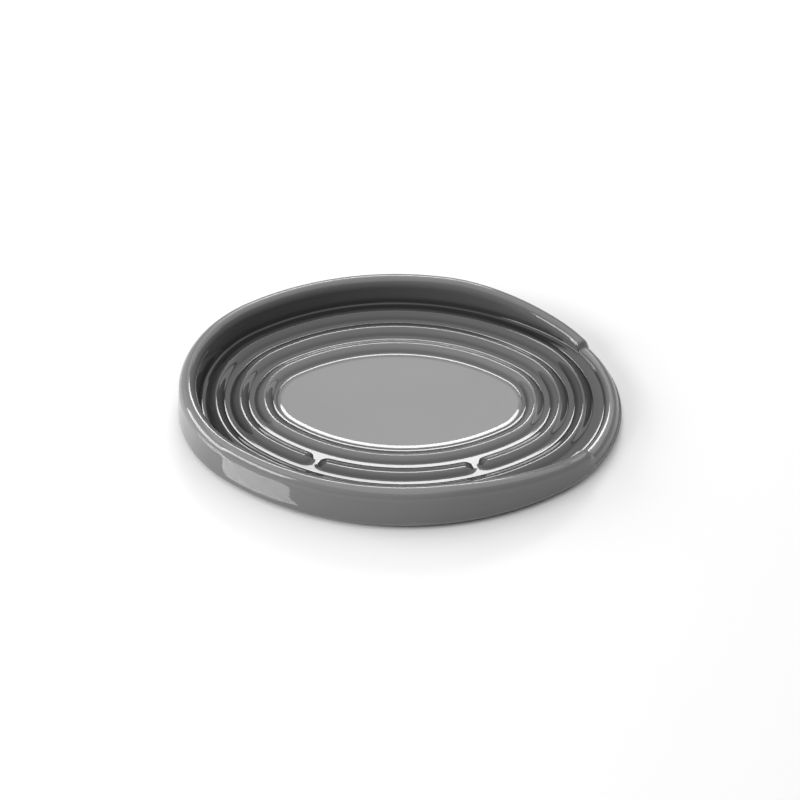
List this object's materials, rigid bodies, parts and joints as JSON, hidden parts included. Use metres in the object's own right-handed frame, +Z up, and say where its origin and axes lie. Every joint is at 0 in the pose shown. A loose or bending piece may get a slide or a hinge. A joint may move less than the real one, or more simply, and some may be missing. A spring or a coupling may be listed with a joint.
{
  "type": "spoon rest",
  "caption": "Shallow oval glazed stoneware spoon rest with raised rings round a flat middle, a rounded rim and a low notch at one end for the spoon's handle.",
  "frame": {"origin": "middle of the oval, on the table that the foot ring stands on", "axes": "+X along the length towards the handle notch, +Y across the width, +Z up"},
  "size_m": [0.152, 0.116, 0.0151],
  "materials": {
    "bare_stoneware": "matte, fine-grained fired clay",
    "grey_glaze": "glossy grey glaze",
    "base_glaze": "glossy grey glaze, thinner"
  },
  "bodies": {
    "root": {"stoneware_body": "bare_stoneware", "glaze_coat": "grey_glaze", "base_glaze": "base_glaze"}
  },
  "joints": []
}
